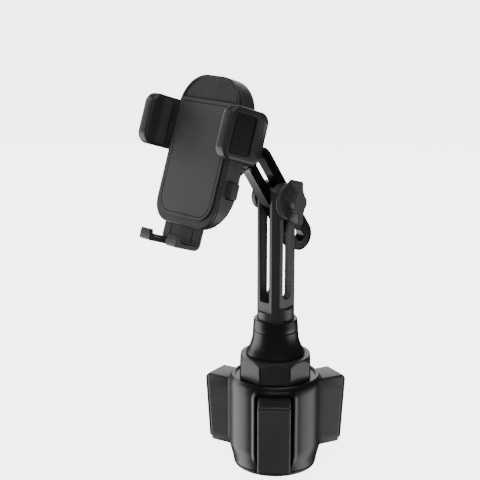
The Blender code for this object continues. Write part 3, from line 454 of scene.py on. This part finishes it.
guide = object_from("slot_bush", block(stadium(-0.0060, 0.0060, SLOT_HALF - 0.0002), -0.0045, 0.0045, "X"))
carve(guide, lathe_on([(0.0, -0.01), (0.0033, -0.01), (0.0033, 0.01), (0.0, 0.01)], 48,
                      Matrix.Rotation(math.radians(90), 4, "Y"), False))
guide.data.transform(arm_way)
complete(guide, satin_plastic, "guide", ["slot_guide"], edge=0.0004)


# ---- Arm ----------------------------------------------------------------------------------------
# The flat slotted arm between the post's prongs: gloss black broad faces sunk between a lip round
# the outline and a thin lip round the slot, and a boss at the upper end that holds the ball stud.

ARM_UP, ARM_DOWN, ARM_R, ARM_HALF = 0.0360, -0.0375, 0.0115, 0.0047
arm = object_from("slotted_arm", block(stadium(ARM_DOWN, ARM_UP, ARM_R, 41), -ARM_HALF, ARM_HALF, "X"))
for flank in (-1, 1):
    low, high = sorted((flank * (ARM_HALF - 0.0005), flank * (ARM_HALF + 0.002)))
    carve(arm, block(stadium(ARM_DOWN, ARM_UP, ARM_R - 0.0013, 41), low, high, "X"))
    low, high = sorted((flank * (ARM_HALF - 0.0010), flank * ARM_HALF))
    carve(arm, block(stadium(ARM_DOWN, ARM_UP, SLOT_HALF + 0.0013, 41), low, high, "X"), "UNION")
arm.data.transform(arm_way)
BALL = Vector(joints["ball_turn"]["pos_m"])
CRADLE = Matrix.Translation(BALL) @ Matrix.Rotation(math.radians(-18.2), 4, "X")
to_cradle_y = CRADLE @ Matrix.Rotation(math.radians(-90), 4, "X")
boss_side = [(0.0, 0.0168), (0.0064, 0.0168), (0.0070, 0.0174), (0.0072, 0.0205), (0.0080, 0.0240),
             (0.0, 0.0240)]
carve(arm, lathe_on(boss_side, 64, to_cradle_y, False), "UNION")
slot_bm = block(stadium(ARM_DOWN, ARM_UP, SLOT_HALF, 41), -0.02, 0.02, "X")
bmesh.ops.transform(slot_bm, matrix=arm_way, verts=slot_bm.verts)
carve(arm, slot_bm)
carve(arm, lathe_on([(0.0, 0.010), (0.0028, 0.010), (0.0028, 0.030), (0.0, 0.030)], 40, to_cradle_y, False))
complete(arm, deep_gloss, "arm", ["arm"], edge=0.00022, segments=3, above=40, crease=30)


# ---- Knob ---------------------------------------------------------------------------------------
# The bar knob that clamps the arm: two wings and a round hub in fine-grained plastic on a thin flange.

KNOB_BACK, KNOB_FRONT, KNOB_REACH = 0.0136, 0.0254, 0.0163
tip = 0.0026
quarter = curve(0, KNOB_REACH - tip, tip, 0, 90, 9)[:-1]
hub = curve(0, 0, 0.0065, 0, 52, 9)
elbow = curve(0.0058, 0.0092, 0.0032, 240, 180, 6)
right = hub + elbow + quarter
knob_outline = (right + [(0.0, KNOB_REACH)] + [(-x, y) for x, y in right[::-1]]
                + [(-x, -y) for x, y in right[1:]] + [(0.0, -KNOB_REACH)]
                + [(x, -y) for x, y in right[:0:-1]])
knob = object_from("bar_knob", block(knob_outline, KNOB_BACK + 0.0010, KNOB_FRONT, "X"))
sideways = Matrix.Rotation(math.radians(90), 4, "Y")
flange_side = [(0.0, KNOB_BACK + 0.0024), (0.0130, KNOB_BACK + 0.0024), (0.0139, KNOB_BACK + 0.0017),
               (0.0142, KNOB_BACK + 0.0010), (0.0142, KNOB_BACK), (0.0, KNOB_BACK)]
carve(knob, lathe_on(flange_side, 96, sideways, False), "UNION")
carve(knob, lathe_on([(0.0, 0.010), (0.0043, 0.010), (0.0043, 0.0236), (0.0, 0.0236)], 48, sideways, False))
knob.data.transform(Matrix.Translation(PIVOT))
complete(knob, fine_plastic, "knob", ["knob"], edge=0.0006, segments=4, above=35)


# ---- Ring nut -----------------------------------------------------------------------------------
# The ribbed ring that closes the ball socket on the back of the cradle.

def sphere_side(radius, start, end, count):
    turns = [math.radians(start + (end - start) * i / (count - 1)) for i in range(count)]
    return [(radius * math.sin(t), radius * math.cos(t)) for t in turns]


ring_nut_side = [(0.0086, 0.0088), (0.0158, 0.0088)] + curve(0.0160, 0.0076, 0.0012, 80, 0, 6)
ring_nut_side += [(0.0172, 0.0076 - 0.0012 * i) for i in range(1, 11)]
ring_nut_side += [(0.0170, -0.0057), (0.0166, -0.0058), (0.0143, -0.0058), (0.0143, 0.0008)]
ring_nut_side += sphere_side(0.0106, 86, 46, 10)
ring_bm = lathe(ring_nut_side, 288)
for vert in ring_bm.verts:
    radius = math.hypot(vert.co.x, vert.co.y)
    if radius > 0.0168 and -0.0046 < vert.co.z < 0.0068:
        turn = math.atan2(vert.co.y, vert.co.x) * 24
        dip = 1 - 0.0007 * (0.5 + 0.5 * math.cos(turn)) ** 2 / radius
        vert.co.x *= dip
        vert.co.y *= dip
bmesh.ops.transform(ring_bm, matrix=to_cradle_y, verts=ring_bm.verts)
complete(object_from("socket_ring", ring_bm), satin_plastic, "ring", ["ring_nut"], crease=45)


# ---- Casing -------------------------------------------------------------------------------------
# The hollow back of the cradle: a boat-like satin shell with a sloped stern, screwed on from behind,
# with doors in its sides for the clamps and the buttons and a socket for the ball.

HALF_W, CASE_LOW, CASE_TOP = 0.0310, -0.0555, 0.0500
CLAMP_Z = 0.0125


def boat(inset, front):
    """The casing's rounded form: a straight side that curves in to a smaller flat back."""
    low, top = CASE_LOW + inset, CASE_TOP - inset
    ring = rounded(-HALF_W + inset, HALF_W - inset, low, top, 0.0150 - inset, 0.0235 - inset, 17)
    bm = bmesh.new()
    face = bm.faces.new([bm.verts.new((x, front, z)) for x, z in ring])
    middle = (low + top) / 2
    depths = [(-0.0150, 1.0)] + [(-0.0150 + 0.0080 * math.sin(math.radians(t)),
                                  1 - 0.26 * (1 - math.cos(math.radians(t))) ** 1.15)
                                 for t in range(10, 91, 10)]
    for step, (depth, share) in enumerate(depths):
        new = bmesh.ops.extrude_face_region(bm, geom=[face])["geom"]
        if step:
            bmesh.ops.delete(bm, geom=[face], context="FACES_ONLY")
        face = next(item for item in new if isinstance(item, bmesh.types.BMFace))
        wide = max(abs(vert.co.x) for vert in face.verts) / (HALF_W - inset)
        for vert in face.verts:
            vert.co.y = depth - inset * (depth > -0.0149)
            vert.co.x *= share / wide
            vert.co.z = middle + (vert.co.z - middle) * share / wide
    bmesh.ops.recalc_face_normals(bm, faces=bm.faces)
    return bm


def bar(low, high):
    """A plain block between two corners."""
    bm = bmesh.new()
    bmesh.ops.create_cube(bm, size=1.0)
    size, middle = Vector(high) - Vector(low), (Vector(high) + Vector(low)) / 2
    bmesh.ops.scale(bm, vec=size, verts=bm.verts)
    bmesh.ops.translate(bm, vec=middle, verts=bm.verts)
    return bm


def pin(radius, low, high, x=0.0, z=0.0, steps=40):
    """A round bar along the cradle's depth."""
    bm = bmesh.new()
    bmesh.ops.create_cone(bm, cap_ends=True, segments=steps, radius1=radius, radius2=radius, depth=high - low)
    bmesh.ops.rotate(bm, verts=bm.verts, matrix=Matrix.Rotation(math.radians(90), 3, "X"))
    bmesh.ops.translate(bm, verts=bm.verts, vec=(x, (low + high) / 2, z))
    return bm


case = object_from("cradle_back", boat(0.0, -0.0246))
stern = [(0.010, -0.0280), (-0.0080, -0.0280), (-0.0215, -0.0565), (-0.0215, -0.0700), (0.010, -0.0700)]
carve(case, block(stern, -0.05, 0.05, "X"))
room = object_from("room", boat(0.0020, -0.0256))
carve(room, block([(y - 0.0022, z) for y, z in stern], -0.05, 0.05, "X"))
carve(case, taken(room))
carve(case, pin(0.0138, -0.0120, 0.0100, steps=72))
hub_side = [(0.0, -0.0106)] + sphere_side(0.0106, 180, 90, 16)[1:]
hub_side += [(0.0106, 0.0005), (0.0140, 0.0005), (0.0140, -0.0136), (0.0, -0.0136)]
carve(case, lathe_on(hub_side, 96, Matrix.Rotation(math.radians(-90), 4, "X"), False), "UNION")
for x, z in ((-0.021, -0.010), (0.021, -0.010), (-0.018, 0.038), (0.018, 0.038)):
    carve(case, pin(0.0043, -0.0240, -0.0095, x, z), "UNION")
    carve(case, pin(0.0031, -0.0110, 0.0010, x, z))
    carve(case, pin(0.0016, -0.0300, 0.0000, x, z))
for side in (-1, 1):
    low, high = sorted((side * 0.027, side * 0.040))
    carve(case, bar((low, -0.0260, -0.0010), (high, -0.0200, 0.0260)))
    carve(case, bar((low, -0.0204, -0.0313), (high, -0.0129, -0.0191)))
carve(case, bar((-0.0204, -0.0260, -0.0600), (0.0204, -0.0215, -0.0450)))
case.data.transform(CRADLE)
complete(case, fine_plastic, "cradle", ["rear_casing"], edge=0.0004, segments=2, above=38,
         crease=32)


# ---- Front plate and pad ------------------------------------------------------------------------
# The cradle's face: a thin plate with a rolled rim and a step across its top, and the soft pad that
# the phone lies on, with a moulded contour line inside its edge.

plate = object_from("face_plate", block(rounded(-HALF_W, HALF_W, CASE_LOW, CASE_TOP, 0.0150, 0.0235, 25),
                                        -0.0269, -0.0249, "Y"))
top_field = rounded(-0.0289, 0.0289, 0.0120, 0.0479, 0.0010, 0.0214, 25)
field_bm = block(top_field, -0.0300, -0.0265, "Y")
STEP_Z = 0.0333
bmesh.ops.bisect_plane(field_bm, geom=field_bm.verts[:] + field_bm.edges[:] + field_bm.faces[:],
                       plane_co=(0, 0, STEP_Z), plane_no=(0, 0, -1), clear_outer=True)
bmesh.ops.holes_fill(field_bm, edges=field_bm.edges[:])
bmesh.ops.recalc_face_normals(field_bm, faces=field_bm.faces)
carve(plate, field_bm)
plate.data.transform(CRADLE)
complete(plate, satin_plastic, "cradle", ["front_plate"], edge=0.0006, segments=4)

pad = object_from("soft_pad", block(rounded(-0.0278, 0.0278, -0.0502, 0.0325, 0.0130, 0.0030, 21),
                                    -0.0281, -0.0272, "Y"))
outer = rounded(-0.0258, 0.0258, -0.0482, 0.0301, 0.0110, 0.0022, 21)
inner = rounded(-0.0253, 0.0253, -0.0477, 0.0296, 0.0105, 0.0017, 21)
groove = object_from("groove", block(outer, -0.0285, -0.0277, "Y"))
carve(groove, block(inner, -0.0290, -0.0270, "Y"))
carve(pad, taken(groove))
pad.data.transform(CRADLE)
complete(pad, rubber, "cradle", ["front_pad"], edge=0.00025, segments=2)


# ---- Side clamps --------------------------------------------------------------------------------
# Two satin jaws that close on the phone together. Each has a rolled front lip, a gloss inlay in a thin
# frame, a finger scoop at the rear edge, a rubber pad inside, and a toothed bar that runs to the gear.

CLAMP_HALF_H, CLAMP_IN, CLAMP_OUT, CLAMP_LIP = 0.0182, 0.0402, 0.0460, 0.0357
CLAMP_FRONT, CLAMP_REAR = -0.0460, -0.0100
RACK_FRONT, RACK_BACK = -0.0242, -0.0204
MODULE, TEETH = 0.0010, 12


def rack_outline(side):
    """A flat bar with trapezoid teeth on one edge."""
    pitch = math.pi * MODULE
    line = CLAMP_Z - side * TEETH * MODULE / 2
    tip_at, root = line + side * 0.8 * MODULE, line - side * 1.25 * MODULE
    slope = math.tan(math.radians(20)) * MODULE
    thick = pitch / 4 - 0.0001
    left, right_end = sorted((-side * 0.0140, side * 0.0330))
    points = []
    for i in range(-5, 6):
        mid = (i + 0.5) * pitch
        tooth = [(mid - thick - 1.25 * slope, root), (mid - thick + 0.8 * slope, tip_at),
                 (mid + thick - 0.8 * slope, tip_at), (mid + thick + 1.25 * slope, root)]
        if left < tooth[0][0] and tooth[3][0] < right_end and abs(mid) < 0.0128:
            points += tooth
    back = CLAMP_Z - side * 0.0121
    return [(left, root)] + points + [(right_end, root), (right_end, back), (left, back)]


def round_rim(bm, at_x, radius, segments):
    """Rounds the outline of the flat face that a block has at one x."""
    rim = [edge for edge in bm.edges if all(abs(vert.co.x - at_x) < 0.00001 for vert in edge.verts)]
    bmesh.ops.bevel(bm, geom=rim, offset=radius, offset_type="OFFSET", affect="EDGES", segments=segments,
                    profile=0.5, material=-1, clamp_overlap=False)


for side, label in ((-1, "left"), (1, "right")):
    low_z, top_z = CLAMP_Z - CLAMP_HALF_H, CLAMP_Z + CLAMP_HALF_H
    lip, out = sorted((side * CLAMP_LIP, side * CLAMP_OUT))
    jaw_bm = block(rounded(CLAMP_FRONT, CLAMP_REAR, low_z, top_z, 0.0080, count=15), lip, out, "X")
    round_rim(jaw_bm, side * CLAMP_OUT, 0.0024, 6)
    round_rim(jaw_bm, side * CLAMP_LIP, 0.0026, 6)
    jaw = object_from(f"jaw_{label}", jaw_bm)
    room_low, room_high = sorted((side * 0.030, side * CLAMP_IN))
    carve(jaw, bar((room_low, -0.0380, low_z - 0.01), (room_high, 0.0, top_z + 0.01)))
    near, far = sorted((side * 0.0315, side * 0.0425))
    carve(jaw, bar((near, RACK_FRONT, 0.0), (far, RACK_BACK, 0.0250)), "UNION")
    carve(jaw, block(rack_outline(side), RACK_FRONT + 0.0001, RACK_BACK - 0.0001, "Y"), "UNION")
    scoop = lathe([(0.0, low_z + 0.0060), (0.0094, low_z + 0.0060), (0.0100, low_z + 0.0072),
                   (0.0100, top_z - 0.0072), (0.0094, top_z - 0.0060), (0.0, top_z - 0.0060)], 96, False)
    bmesh.ops.translate(scoop, verts=scoop.verts, vec=(side * (CLAMP_OUT + 0.0088), CLAMP_REAR - 0.0012, 0))
    carve(jaw, scoop)
    deep, open_end = sorted((side * (CLAMP_OUT - 0.0012), side * 0.060))
    carve(jaw, block(rounded(-0.0417, -0.0220, -0.0010, 0.0264, 0.0028), deep, open_end, "X"))
    jaw.data.transform(CRADLE)
    complete(jaw, satin_plastic, f"clamp_{label}", [f"clamp_{label}"], edge=0.0003, segments=2,
             above=45, crease=35)
    deep, flush = sorted((side * (CLAMP_OUT - 0.0011), side * (CLAMP_OUT + 0.0002)))
    trim = object_from(f"inlay_frame_{label}",
                       block(rounded(-0.0414, -0.0223, -0.0007, 0.0261, 0.0025), deep, flush, "X"))
    carve(trim, block(rounded(-0.0408, -0.0229, -0.0001, 0.0255, 0.0020), deep - 0.001, flush + 0.001, "X"))
    trim.data.transform(CRADLE)
    complete(trim, gloss_plastic, f"clamp_{label}", edge=0.00018, segments=2)
    deep, flush = sorted((side * (CLAMP_OUT - 0.0011), side * (CLAMP_OUT - 0.0003)))
    inlay = object_from(f"inlay_{label}",
                        block(rounded(-0.0407, -0.0230, 0.0, 0.0254, 0.0019), deep, flush, "X"))
    inlay.data.transform(CRADLE)
    complete(inlay, gloss_plastic, f"clamp_{label}", [f"panel_{label}"], edge=0.0004)
    thin, thick_x = sorted((side * 0.0388, side * (CLAMP_IN - 0.0003)))
    grip_face = rounded(-0.0375, -0.0255, low_z + 0.0020, top_z - 0.0020, 0.0030)
    grip = object_from(f"jaw_pad_{label}", block(grip_face, thin, thick_x, "X"))
    grip.data.transform(CRADLE)
    complete(grip, rubber, f"clamp_{label}", [f"pad_{label}"], edge=0.0003)


# ---- Release buttons ----------------------------------------------------------------------------
# The side buttons that free the clamps: satin keys with an inner flange that keeps them in.

BUTTON_Z, BUTTON_FRONT, BUTTON_BACK, KEY_OUT = -0.0252, -0.0201, -0.0132, 0.0350
for side, label in ((-1, "left"), (1, "right")):
    low, high = sorted((side * 0.0270, side * KEY_OUT))
    key_bm = block(rounded(BUTTON_FRONT, BUTTON_BACK, BUTTON_Z - 0.0058, BUTTON_Z + 0.0058, 0.0016), low,
                   high, "X")
    round_rim(key_bm, side * KEY_OUT, 0.0010, 5)
    key = object_from(f"release_key_{label}", key_bm)
    low, high = sorted((side * 0.0262, side * 0.0285))
    carve(key, bar((low, BUTTON_FRONT + 0.0002, BUTTON_Z - 0.0078),
                   (high, BUTTON_BACK - 0.0002, BUTTON_Z + 0.0078)),
          "UNION")
    key.data.transform(CRADLE)
    complete(key, fine_plastic, f"button_{label}", [f"release_button_{label}"])


# ---- Foot ---------------------------------------------------------------------------------------
# The pull-out shelf under the phone: a stem with two guide lines, a flat shelf with a flared notch for
# the plug, two low hooks at its front corners and a thin rubber pad on each side.

FOOT_Z, FOOT_THICK, FOOT_HALF = -0.0672, 0.0035, 0.0195
UNDER, HEEL = FOOT_Z - FOOT_THICK, 0.0050
HOOK_FRONT, HOOK_BACK, HOOK_TOP, HOOK_IN = -0.0445, -0.0412, FOOT_Z + 0.0044, 0.0095
STEM_FRONT, STEM_BACK, STEM_TOP = -0.0243, -0.0220, -0.0330
shelf_side = curve(STEM_BACK - HEEL, UNDER + HEEL, HEEL, -90, 0, 17)
shelf_side += [(STEM_BACK, STEM_TOP), (STEM_FRONT, STEM_TOP)]
shelf_side += curve(STEM_FRONT - 0.0012, FOOT_Z + 0.0012, 0.0012, 0, -90, 6)
shelf_side += curve(HOOK_BACK + 0.0030, FOOT_Z + 0.0030, 0.0030, 270, 180, 12)
shelf_side += curve(HOOK_BACK - 0.0012, HOOK_TOP - 0.0012, 0.0012, 0, 90, 6)
shelf_side += curve(HOOK_FRONT + 0.0010, HOOK_TOP - 0.0010, 0.0010, 90, 180, 6)
shelf_side += curve(HOOK_FRONT + 0.0015, UNDER + 0.0015, 0.0015, 180, 270, 6)
foot = object_from("shelf", block(shelf_side, -FOOT_HALF, FOOT_HALF, "X"))
gap_outline = rounded(-HOOK_IN, HOOK_IN, FOOT_Z - 0.0002, HOOK_TOP + 0.0060, 0.0025)
carve(foot, block(gap_outline, HOOK_FRONT - 0.0020, -0.0360, "Y"))
half_notch = [(0.0030, -0.0333), (0.0044, -0.0340), (0.0052, -0.0356), (0.0060, -0.0385), (0.0074, -0.0415),
              (0.0084, -0.0435), (0.0088, HOOK_FRONT - 0.0020)]
carve(foot, block(half_notch + [(-x, y) for x, y in half_notch[::-1]], UNDER - 0.002, FOOT_Z + 0.002))
for side in (-1, 1):
    low, high = sorted((side * 0.0112, side * 0.0118))
    carve(foot, bar((low, -0.0250, FOOT_Z + 0.0010), (high, STEM_FRONT + 0.0005, STEM_TOP + 0.0030)))
foot.data.transform(CRADLE)
complete(foot, satin_plastic, "foot", ["foot"], edge=0.0004, segments=3, above=40, crease=35)
for side, label in ((-1, "left"), (1, "right")):
    low, high = sorted((side * (HOOK_IN + 0.0005), side * (FOOT_HALF - 0.0010)))
    rest = object_from(f"shelf_pad_{label}",
                       block(rounded(low, high, -0.0370, -0.0262, 0.0012), FOOT_Z + 0.0003, FOOT_Z + 0.0011))
    rest.data.transform(CRADLE)
    complete(rest, rubber, "foot", [f"foot_pad_{label}"], edge=0.0002)


# ---- Studio -------------------------------------------------------------------------------------
# A plain pale floor that only the camera sees, tall soft lights at the sides, soft ones above and behind,
# a small one high on the left, a fill from the front that makes no highlights, and the camera.

floor_look = bpy.data.materials.new("pale_floor")
floor_look.use_nodes = True
tree = floor_look.node_tree
shader = tree.nodes["Principled BSDF"]
shader.inputs["Base Color"].default_value = (0.80, 0.80, 0.80, 1)
shader.inputs["Roughness"].default_value = 0.9
shader.inputs["Specular IOR Level"].default_value = 0.0
seen = add_node(tree, "ShaderNodeLightPath").outputs["Is Camera Ray"]
glow = add_node(tree, "ShaderNodeMath", ((0, seen), (1, 4.5)), operation="MULTIPLY")
shader.inputs["Emission Color"].default_value = (1, 1, 1, 1)
tree.links.new(glow.outputs[0], shader.inputs["Emission Strength"])
floor_bm = bmesh.new()
bmesh.ops.create_grid(floor_bm, x_segments=1, y_segments=1, size=12.0)
floor = object_from("floor", floor_bm)
floor.data.materials.append(floor_look)
floor.visible_glossy = False
floor.visible_diffuse = False
floor.visible_shadow = False

world = bpy.data.worlds.new("studio")
world.use_nodes = True
sky = world.node_tree
back = sky.nodes["Background"]
back.inputs["Color"].default_value = (1, 1, 1, 1)
seen = add_node(sky, "ShaderNodeLightPath").outputs["Is Camera Ray"]
level = add_node(sky, "ShaderNodeMapRange", (("Value", seen), ("To Min", 0.035), ("To Max", 5.6)))
sky.links.new(level.outputs[0], back.inputs["Strength"])
bpy.context.scene.world = world

AIM = Vector((0, -0.02, 0.15))
view_turn = math.radians(47.29)
towards = Vector((math.sin(view_turn), -math.cos(view_turn), 0))
rightwards = Vector((math.cos(view_turn), math.sin(view_turn), 0))
for name, angle, distance, height, wide, tall, power in (
        ("left_panel", -104, 1.1, -0.60, 1.1, 1.5, 17), ("right_panel", 88, 0.9, -0.87, 0.8, 1.3, 8),
        ("top_panel", 20, 0.25, 1.4, 1.2, 1.2, 8), ("rear_panel", 178, 1.5, 0.45, 1.8, 0.8, 10),
        ("high_left_panel", -125, 1.0, 0.45, 0.5, 0.5, 3.5), ("front_fill", -5, 1.5, 0.45, 1.2, 1.2, 19)):
    panel = bpy.data.lights.new(name, "AREA")
    panel.shape = "RECTANGLE"
    panel.size = wide
    panel.size_y = tall
    panel.energy = power
    lamp = bpy.data.objects.new(name, panel)
    bpy.context.scene.collection.objects.link(lamp)
    turn = math.radians(angle)
    lamp.location = AIM + (towards * math.cos(turn) + rightwards * math.sin(turn)) * distance
    lamp.location.z += height
    level_aim = AIM if abs(height) > 1 else Vector((AIM.x, AIM.y, lamp.location.z))
    lamp.rotation_euler = (level_aim - lamp.location).to_track_quat("-Z", "Y").to_euler()
    lamp.visible_camera = False
    lamp.visible_glossy = name != "front_fill"

camera = bpy.data.cameras.new("camera")
camera.lens = 94.9
camera.sensor_width = 36.0
eye = bpy.data.objects.new("camera", camera)
bpy.context.scene.collection.objects.link(eye)
eye.location = (0.6518, -0.63825, 0.40657)
eye.rotation_euler = (math.radians(75.85), 0, view_turn)
bpy.context.scene.camera = eye
